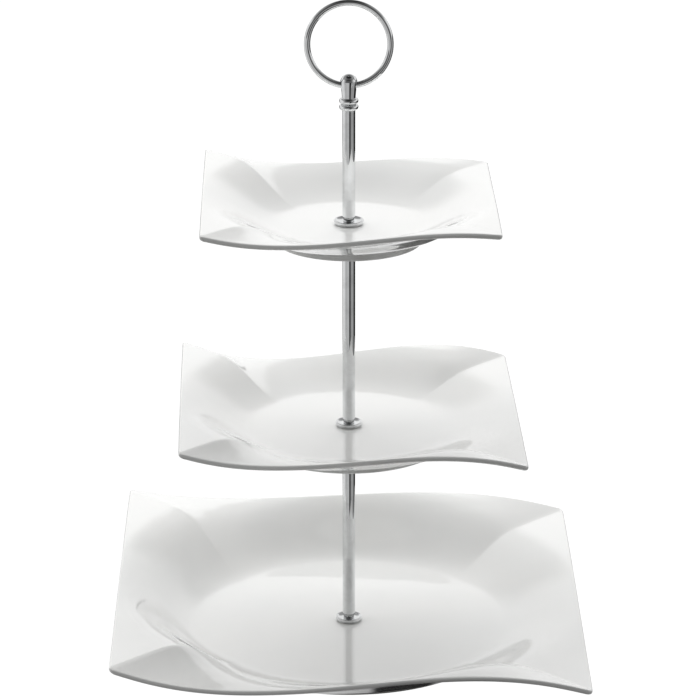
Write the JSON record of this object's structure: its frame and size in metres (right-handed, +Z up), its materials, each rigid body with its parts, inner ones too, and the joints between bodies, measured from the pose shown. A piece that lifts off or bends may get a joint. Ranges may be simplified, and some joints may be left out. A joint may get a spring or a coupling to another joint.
{
  "type": "tiered cake stand",
  "caption": "Tiered cake stand: square wavy porcelain plates on a chromed centre rod with dished collars and a swinging ring handle.",
  "frame": {"origin": "centre of the bottom plate's foot ring, on the plane it rests on", "axes": "+Z up along the centre rod; front is -Y; X runs along the front edges of the plates and along the ring's hinge"},
  "size_m": [0.302, 0.302, 0.4262],
  "materials": {
    "porcelain": "gloss glaze over white porcelain, foot rings left bare",
    "chrome": "bright chrome plate",
    "steel": "zinc-plated steel fastener",
    "rubber": "matt black rubber",
    "clear_nylon": "translucent nylon"
  },
  "bodies": {
    "stand": {"bottom_plate": "porcelain", "bottom_seat_ring": "clear_nylon", "bottom_seat_disc": "chrome", "bottom_collar": "chrome", "lower_rod_neck": "chrome", "lower_rod_tube": "chrome", "lower_rod_cap": "chrome", "bottom_under_ring": "rubber", "bottom_under_washer": "steel", "foot_screw": "steel", "middle_plate": "porcelain", "middle_seat_ring": "clear_nylon", "middle_seat_disc": "chrome", "middle_collar": "chrome", "middle_rod_neck": "chrome", "middle_rod_tube": "chrome", "middle_rod_cap": "chrome", "middle_under_ring": "rubber", "middle_under_washer": "steel", "middle_stud": "steel", "top_plate": "porcelain", "top_seat_ring": "clear_nylon", "top_seat_disc": "chrome", "top_collar": "chrome", "upper_rod_neck": "chrome", "upper_rod_tube": "chrome", "upper_rod_cap": "chrome", "top_under_ring": "rubber", "top_under_washer": "steel", "top_stud": "steel", "handle_head": "chrome", "head_stud": "steel"},
    "ring": {"ring_handle": "chrome"}
  },
  "joints": [
    {"name": "ring_swing", "type": "hinge", "parent": "stand", "child": "ring", "pos_m": [0, 0, 0.3727], "axis": [1, 0, 0], "range_deg": [-163.5, 176.5]}
  ]
}
